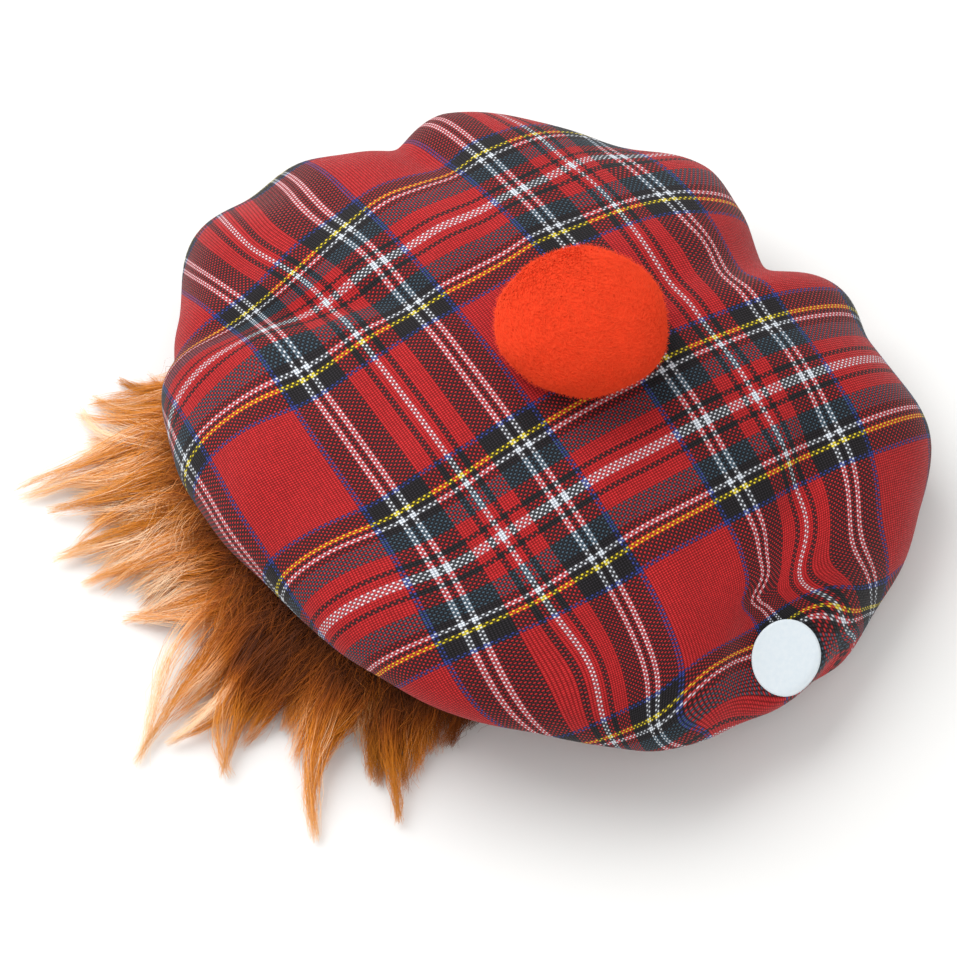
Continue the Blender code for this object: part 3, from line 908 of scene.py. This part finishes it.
def lock_rows(chance, start, lock, ceiling):
    """One lock: wisps that fill the triangle between its tip and the gaps before and after it."""
    near = plan(*start)
    far = plan(lock.gap_bearing, lock.gap_reach) * MM
    tip = plan(lock.bearing, lock.reach) * MM
    to_far = far - near
    to_tip = tip - near
    area = abs(to_far[0] * to_tip[1] - to_far[1] * to_tip[0]) / 2
    rows = []
    for part in range(WISPS_AT_LEAST + int(area / WISP_CELL)):
        leads = part < LEAD_WISPS
        across = 0.5 if leads else chance.uniform(0.05, 0.95)
        foot = near + to_far * across
        out = (1.0 - abs(2.0 * across - 1.0)) * (LEAD_REACH if leads else chance.uniform(0.25, 1.0))
        end = foot + (tip - foot) * out
        lean = lock.lean * out + chance.normal(0.0, WISP_LEAN_CHANCE)
        width = WISP_WIDTH * chance.uniform(0.7, 1.2)
        bulge = WISP_BULGE * chance.uniform(0.3, 1.0)
        lines, share = wisp_lines(
            chance, math.degrees(math.atan2(end[1], end[0])), math.hypot(*end), lean, width, bulge,
            WISP_STRANDS, ceiling, LOCK_DRAWN_IN, ragged=RAGGED_AT_TIP if leads else RAGGED,
        )
        rows.append((lines, share, shade_strands(chance, lock.shade - LOCK_SHADE_DROP, WISP_STRANDS)))
    return rows


def body_rows(chance, bearing_from, bearing_to, ceiling):
    """The thick body of shorter pile behind the locks."""
    rows = []
    for _ in range(BODY_WISPS):
        bearing = chance.uniform(bearing_from, bearing_to)
        full, lean, shade = fur_body_at(bearing)
        grown = chance.uniform(*BODY_REACH)
        reach = BAND_OUTER_RADIUS + (full - BAND_OUTER_RADIUS) * grown
        lean = BODY_LEAN_SHARE * lean + chance.normal(0.0, BODY_LEAN_CHANCE)
        width = chance.uniform(*BODY_WIDTH)
        bulge = WISP_BULGE * chance.uniform(0.4, 1.4)
        lines, share = wisp_lines(
            chance, bearing, reach, lean, width, bulge, BODY_WISP_STRANDS, ceiling, BODY_DRAWN_IN,
        )
        # Short wisps are darkened: painted shade under the crown's edge.
        shade += BODY_SHADE_RISE - SHORT_WISP_PAINTED_SHADE * (1.0 - grown)
        rows.append((lines, share, shade_strands(chance, shade, BODY_WISP_STRANDS)))
    return rows


def underfur_rows(chance, ceiling):
    """Short crimped underfur, which stands up against the crown's underside."""
    rows = []
    for _ in range(UNDERFUR_STRANDS // UNDERFUR_WISP_STRANDS):
        bearing = chance.uniform(FUR_START_BEARING, LOCKS[-1].gap_bearing)
        full, _, shade = fur_body_at(bearing)
        reach = BAND_OUTER_RADIUS + (full - BAND_OUTER_RADIUS) * chance.uniform(*UNDERFUR_REACH)
        lean = chance.normal(0.0, UNDERFUR_LEAN_CHANCE)
        lines, share = wisp_lines(
            chance, bearing, reach, lean, UNDERFUR_WIDTH, UNDERFUR_BULGE, UNDERFUR_WISP_STRANDS, ceiling,
            UNDERFUR_DRAWN_IN, crimp_depth=UNDERFUR_CRIMP,
        )
        # The underfur is darkened: painted shade under the crown.
        tones = shade_strands(chance, shade - UNDERFUR_PAINTED_SHADE, UNDERFUR_WISP_STRANDS)
        rows.append((lines, share, tones))
    return rows


def make_fur(skin, material):
    """The fringe: pointed locks over a thick body and crimped underfur, in joined pieces."""
    chance = np.random.default_rng(FUR_SEED)
    ceiling = ceiling_over(skin)
    start = (FUR_START_BEARING, FUR_START_REACH)
    left = []
    right = []
    for lock in LOCKS:
        side = left if lock.bearing < FUR_MIDDLE_BEARING else right
        side += lock_rows(chance, start, lock, ceiling)
        start = (lock.gap_bearing, lock.gap_reach * MM)
    groups = (
        ("fur_locks_left", left),
        ("fur_locks_right", right),
        ("fur_body_left", body_rows(chance, FUR_START_BEARING, FUR_MIDDLE_BEARING, ceiling)),
        ("fur_body_right", body_rows(chance, FUR_MIDDLE_BEARING, LOCKS[-1].gap_bearing, ceiling)),
        ("fur_underfur", underfur_rows(chance, ceiling)),
    )
    for name, rows in groups:
        fur_piece(name, chance, rows, material)


# ---- Materials ----


def linear(hex_colour):
    """An sRGB hex colour as linear light."""
    parts = [int(hex_colour[i:i + 2], 16) / 255 for i in (1, 3, 5)]
    return (*(part / 12.92 if part <= 0.04045 else ((part + 0.055) / 1.055) ** 2.4 for part in parts), 1.0)


def connect(node, inputs):
    """Give a node's inputs values or link them. A node stands for the first of its outputs in use."""
    for name, value in inputs.items():
        if isinstance(value, bpy.types.Node):
            value = next(output for output in value.outputs if output.enabled)
        if isinstance(value, bpy.types.NodeSocket):
            node.id_data.links.new(value, node.inputs[name])
        else:
            node.inputs[name].default_value = value


def add(tree, kind, inputs=None, **settings):
    """Add one node with its settings and its links."""
    node = tree.nodes.new(kind)
    for name, value in settings.items():
        setattr(node, name, value)
    connect(node, inputs or {})
    return node


# The settings of a mix of two colours, and of their product.
BLEND = {"data_type": "RGBA"}
TIMES = {"data_type": "RGBA", "blend_type": "MULTIPLY"}


def new_material(name, finish):
    """A node tree with one Principled shader on its output, with a finish told socket by socket."""
    material = bpy.data.materials.new(name)
    material.use_nodes = True
    tree = material.node_tree
    tree.nodes.clear()
    shader = add(tree, "ShaderNodeBsdfPrincipled", finish)
    add(tree, "ShaderNodeOutputMaterial", {"Surface": shader})
    return material, tree, shader


# Yarn of the cloth, dyed before weaving.
YARN = {
    "red": "#CC2C30",
    "black": "#2B262B",
    "teal": "#425A6A",
    "blue": "#3E4A98",
    "yellow": "#F6DE30",
    "white": "#E8EDF3",
}

# Half a sett of each direction, from its white pivot to its red one. The other half mirrors it.
Band = namedtuple("Band", "yarn threads")
WARP_SETT = (
    Band("white", 1), Band("red", 2), Band("black", 2), Band("red", 6), Band("black", 8),
    Band("white", 2), Band("black", 2), Band("white", 2), Band("black", 6), Band("blue", 2),
    Band("red", 17),
)
WEFT_SETT = (
    Band("white", 1.5), Band("red", 3), Band("black", 2), Band("red", 6), Band("teal", 8),
    Band("black", 3), Band("white", 2), Band("black", 2), Band("yellow", 2), Band("black", 7),
    Band("blue", 2), Band("red", 26.5),
)

WARP_PITCH = SETT_ALONG_U / (2 * sum(band.threads for band in WARP_SETT))
WEFT_PITCH = SETT_ALONG_V / (2 * sum(band.threads for band in WEFT_SETT))
THREAD_RELIEF = 0.16 * MM
CUSHION_NARROWING = 1.2
CUSHION_LENGTHENING = 0.6
FIBRE_BLOOM = 0.04
FIBRE_CLUMP = 0.35 * MM
HANDLING_PATCH = 35.0 * MM
PAPER_CLOUD = 1.5 * MM
PAPER_RELIEF = 0.03 * MM


def sett_colour(tree, thread_edge, sett):
    """The colour of a thread by its number: the sett's bands, mirrored at both pivots."""
    half = sum(band.threads for band in sett)
    thread = add(tree, "ShaderNodeMath", {0: thread_edge, 1: 0.5}, operation="ADD")
    mirrored = add(tree, "ShaderNodeMath", {0: thread, 1: half}, operation="PINGPONG")
    share = add(tree, "ShaderNodeMath", {0: mirrored, 1: half}, operation="DIVIDE")
    ramp = add(tree, "ShaderNodeValToRGB", {"Fac": share})
    stops = ramp.color_ramp.elements
    ramp.color_ramp.interpolation = "CONSTANT"
    stops.remove(stops[1])
    at = 0.0
    for i, band in enumerate(sett):
        stop = stops[0] if i == 0 else stops.new(at / half)
        stop.color = linear(YARN[band.yarn])
        at += band.threads
    return ramp


def tartan_weave(name):
    """Plain-woven tartan: every thread crosses over one and under one, so bands mix as small checks.

    The yarn is matt with a soft bloom of loose fibres. Each crossing stands up as a little cushion of the
    upper thread, and round it the lower one tints what is seen: yellow over red turns orange, red over
    black nearly black. The colour is also darkened in the hollows between the cushions and lightened a
    little on their tops: painted shade and painted light.
    """
    finish = {"Roughness": 0.82, "Specular IOR Level": 0.25, "Sheen Weight": 0.1, "Sheen Roughness": 0.4}
    material, tree, shader = new_material(name, finish)
    place = add(tree, "ShaderNodeUVMap", uv_map="cloth")
    axes = add(tree, "ShaderNodeSeparateXYZ", {0: place}).outputs

    # The thread of each direction at a place, its dyed colour, and how it bulges between its crossings.
    thread = {}
    dye = {}
    bulge = {}
    ways = (("warp", "X", WARP_PITCH, WARP_SETT), ("weft", "Y", WEFT_PITCH, WEFT_SETT))
    for way, axis, pitch, sett in ways:
        at = add(tree, "ShaderNodeMath", {0: axes[axis], 1: pitch}, operation="DIVIDE")
        thread[way] = add(tree, "ShaderNodeMath", {0: at}, operation="FLOOR")
        dye[way] = sett_colour(tree, thread[way], sett)
        share = add(tree, "ShaderNodeMath", {0: at}, operation="FRACT")
        turn = add(tree, "ShaderNodeMath", {0: share, 1: math.pi}, operation="MULTIPLY")
        bulge[way] = add(tree, "ShaderNodeMath", {0: turn}, operation="SINE")

    # Which of the two threads lies on top at this crossing.
    crossing = add(tree, "ShaderNodeMath", {0: thread["warp"], 1: thread["weft"]}, operation="ADD")
    warp_on_top = add(tree, "ShaderNodeMath", {0: crossing, 1: 2.0}, operation="FLOORED_MODULO")
    pick = {"Factor": warp_on_top}
    upper = add(tree, "ShaderNodeMix", pick | {"A": dye["weft"], "B": dye["warp"]}, **BLEND)
    lower = add(tree, "ShaderNodeMix", pick | {"A": dye["warp"], "B": dye["weft"]}, **BLEND)

    # Loose fibres carry some of the lower thread's colour over the upper one: white over red looks pink.
    bloomed = add(tree, "ShaderNodeMix", {"Factor": FIBRE_BLOOM, "A": upper, "B": lower}, **BLEND)

    # Each cushion is narrow across its thread and long along it.
    across = add(tree, "ShaderNodeMix", pick | {"A": bulge["weft"], "B": bulge["warp"]})
    along = add(tree, "ShaderNodeMix", pick | {"A": bulge["warp"], "B": bulge["weft"]})
    narrow = add(tree, "ShaderNodeMath", {0: across, 1: CUSHION_NARROWING}, operation="POWER")
    long = add(tree, "ShaderNodeMath", {0: along, 1: CUSHION_LENGTHENING}, operation="POWER")
    cushion = add(tree, "ShaderNodeMath", {0: narrow, 1: long}, operation="MULTIPLY")
    veil = add(tree, "ShaderNodeMix", {"Factor": cushion, "A": lower, "B": (1.0, 1.0, 1.0, 1.0)}, **BLEND)
    dyed = add(tree, "ShaderNodeMix", {"Factor": 1.0, "A": bloomed, "B": veil}, **TIMES)
    # Darker in the hollows between the cushions and a little lighter on their tops: painted shade and
    # painted light.
    tone = add(tree, "ShaderNodeMapRange", {"Value": cushion, "To Min": 0.45, "To Max": 1.15})

    # Dye lots, loose fibres and handling vary the tone: thread by thread, finely, and in soft patches.
    crossing_place = add(tree, "ShaderNodeCombineXYZ", {0: thread["warp"], 1: thread["weft"]})
    dye_lot = add(tree, "ShaderNodeTexWhiteNoise", {"Vector": crossing_place}, noise_dimensions="2D")
    fibres, patches = (
        add(tree, "ShaderNodeTexNoise", {"Vector": place, "Scale": 1.0 / size, "Detail": detail})
        for size, detail in ((FIBRE_CLUMP, 2.0), (HANDLING_PATCH, 3.0))
    )
    for source, low, high in ((dye_lot, 0.86, 1.1), (fibres, 0.86, 1.14), (patches, 0.86, 1.14)):
        part = add(tree, "ShaderNodeMapRange", {"Value": source, "To Min": low, "To Max": high})
        tone = add(tree, "ShaderNodeMath", {0: tone, 1: part}, operation="MULTIPLY")
    colour = add(tree, "ShaderNodeMix", {"Factor": 1.0, "A": dyed, "B": tone}, **TIMES)
    relief = add(tree, "ShaderNodeBump", {"Height": cushion, "Distance": THREAD_RELIEF, "Strength": 0.7})
    connect(shader, {"Base Color": colour, "Normal": relief})
    return material


def fibre_colours(tree, share, colours):
    """Colours along a fibre, from its root to its tip: shares of the way, and the colour there."""
    ramp = add(tree, "ShaderNodeValToRGB", {"Fac": share})
    stops = ramp.color_ramp.elements
    stops[0].color = linear(colours[0][1])
    stops[1].color = linear(colours[-1][1])
    for at, colour in colours[1:-1]:
        stops.new(at).color = linear(colour)
    return ramp


def cut_pile(name):
    """Short cut pile of acrylic yarn: darker red towards its roots, which is painted shade deep in the
    pile, and bright along its edge.
    """
    finish = {"Roughness": 0.9, "Specular IOR Level": 0.15, "Sheen Weight": 0.3, "Sheen Roughness": 0.5}
    material, tree, shader = new_material(name, finish | {"Sheen Tint": linear("#FF6A3C")})
    place = add(tree, "ShaderNodeUVMap", uv_map="fibre")
    axes = add(tree, "ShaderNodeSeparateXYZ", {0: place}).outputs
    # The ramp runs from a darker red at the roots to orange at the tips. The darker roots are painted shade
    # deep in the pile.
    orange = fibre_colours(tree, axes["Y"], ((0.0, "#D4240F"), (0.5, "#F0421E"), (1.0, "#F8502A")))
    tone = add(tree, "ShaderNodeMapRange", {"Value": axes["X"], "To Min": 0.65, "To Max": 1.18})
    colour = add(tree, "ShaderNodeMix", {"Factor": 1.0, "A": orange, "B": tone}, **TIMES)
    connect(shader, {"Base Color": colour})
    return material


def long_pile(name):
    """Long acrylic pile: dark brown at its roots, which is painted shade under the crown's edge, ginger
    along its length and pale at its thin tips.

    A light strand pales sooner than a dark one, so that the strands stand out as lines.
    """
    material, tree, shader = new_material(name, {"Roughness": 0.55, "Specular IOR Level": 0.12})
    place = add(tree, "ShaderNodeUVMap", uv_map="fibre")
    axes = add(tree, "ShaderNodeSeparateXYZ", {0: place}).outputs
    ripening = add(tree, "ShaderNodeMapRange", {"Value": axes["X"], "To Min": 0.7, "To Max": 1.15})
    ripe = add(tree, "ShaderNodeMath", {0: axes["Y"], 1: ripening}, operation="MULTIPLY")
    # The ramp's dark browns at the roots are painted shade under the crown's edge.
    ginger = fibre_colours(tree, ripe, (
        (0.0, "#3C1A08"), (0.21, "#5A2A10"), (0.33, "#A85414"),
        (0.46, "#DE8420"), (0.70, "#F0A248"), (1.0, "#F6CA90"),
    ))
    light, outer = (
        add(tree, "ShaderNodeMapRange", {"Value": axes[axis], "From Min": low, "From Max": high})
        for axis, low, high in (("X", 0.60, 0.82), ("Y", 0.36, 0.58))
    )
    pale = add(tree, "ShaderNodeMath", {0: light, 1: outer}, operation="MULTIPLY")
    paled = add(tree, "ShaderNodeMix", {"Factor": pale, "A": ginger, "B": linear("#FFE2BE")}, **BLEND)
    # The strand's shade darkens it. This is random tone, and painted shade where its wisp was made darker
    # under the crown.
    spread = {"Value": axes["X"], "From Max": 0.6, "To Min": 0.4, "To Max": 1.05}
    tone = add(tree, "ShaderNodeMapRange", spread)
    colour = add(tree, "ShaderNodeMix", {"Factor": 1.0, "A": paled, "B": tone}, **TIMES)
    connect(shader, {"Base Color": colour})
    return material


def coated_paper(name):
    """Self-adhesive paper with a thin gloss coat: cool white, with a faint cloud of fibres in it."""
    finish = {"Roughness": 0.45, "Coat Weight": 0.2, "Coat Roughness": 0.2}
    material, tree, shader = new_material(name, finish)
    place = add(tree, "ShaderNodeTexCoord").outputs["Object"]
    haze = add(tree, "ShaderNodeTexNoise", {"Vector": place, "Scale": 1.0 / PAPER_CLOUD, "Detail": 4.0})
    whites = {"Factor": haze, "A": linear("#DDE9F1"), "B": linear("#EDF4F8")}
    colour = add(tree, "ShaderNodeMix", whites, **BLEND)
    relief = add(tree, "ShaderNodeBump", {"Height": haze, "Distance": PAPER_RELIEF, "Strength": 0.4})
    connect(shader, {"Base Color": colour, "Normal": relief})
    return material


# ---- Stage ----

# A pixel of the photograph is PHOTO_SCALE wide at the camera's distance.
CAMERA_AZIMUTH = -125.0
CAMERA_ELEVATION = 59.0
CAMERA_DISTANCE = 1.2
SENSOR_WIDTH = 36.0
PHOTO_WIDTH = 957
PHOTO_SCALE = 0.34 * MM
CAMERA_LENS = SENSOR_WIDTH * CAMERA_DISTANCE / (PHOTO_WIDTH * PHOTO_SCALE)
AIM_X = BUTTON_X + 19.0 * MM
AIM_Y = BUTTON_Y + 27.0 * MM
FLOOR_SIDE = 6.0
SURROUND_STRENGTH = 0.62


def stand(thing, place, back):
    """Put the camera or a lamp in its place, with its back that way."""
    thing.location = place
    thing.rotation_mode = "QUATERNION"
    thing.rotation_quaternion = (-back).to_track_quat("-Z", "Y")


def make_camera():
    """The camera at the photograph's angle above the floor, aimed so that the hat lies as it does there."""
    azimuth = math.radians(CAMERA_AZIMUTH)
    elevation = math.radians(CAMERA_ELEVATION)
    back = Vector((
        math.sin(azimuth) * math.cos(elevation),
        -math.cos(azimuth) * math.cos(elevation),
        math.sin(elevation),
    ))
    camera = in_scene("camera", bpy.data.cameras.new("camera"))
    camera.data.lens = CAMERA_LENS
    stand(camera, Vector((AIM_X, AIM_Y, 0.0)) + back * CAMERA_DISTANCE, back)
    bpy.context.scene.camera = camera


def make_floor():
    """A plain white table top."""
    half = FLOOR_SIDE / 2
    corners = [(-half, -half, 0.0), (half, -half, 0.0), (half, half, 0.0), (-half, half, 0.0)]
    mesh = mesh_from("floor", corners, [(0, 1, 2, 3)])
    material, _, _ = new_material("white_table", {"Base Color": linear("#F4F4F2"), "Roughness": 0.7})
    mesh.materials.append(material)
    floor = in_scene("floor", mesh)


# Each lamp has its place and the side of its square in metres, and its power in watts.
Lamp = namedtuple("Lamp", "name place size power")
LAMPS = (
    Lamp("key_softbox", (0.95, 0.25, 1.35), 1.5, 25.0),
    Lamp("fill_softbox", (-1.1, 0.4, 1.3), 1.4, 6.0),
)


def make_lights():
    """Two large soft boxes and an even white surround."""
    for lamp in LAMPS:
        light = bpy.data.lights.new(lamp.name, "AREA")
        light.shape = "SQUARE"
        light.size = lamp.size
        light.energy = lamp.power
        stand(in_scene(lamp.name, light), lamp.place, Vector(lamp.place))
    world = bpy.data.worlds.new("surround")
    world.use_nodes = True
    surround = world.node_tree.nodes["Background"]
    surround.inputs["Color"].default_value = (1.0, 1.0, 1.0, 1.0)
    surround.inputs["Strength"].default_value = SURROUND_STRENGTH
    bpy.context.scene.world = world
    bpy.context.scene.view_settings.view_transform = "Standard"


make_camera()
make_floor()
make_lights()

cloth = tartan_weave("tartan_cloth")
crown, skin = make_crown(cloth)
band = make_headband(cloth)
make_patch(skin, coated_paper("coated_paper"))
make_toorie(cut_pile("acrylic_yarn"))
make_fur(skin, long_pile("acrylic_fur"))
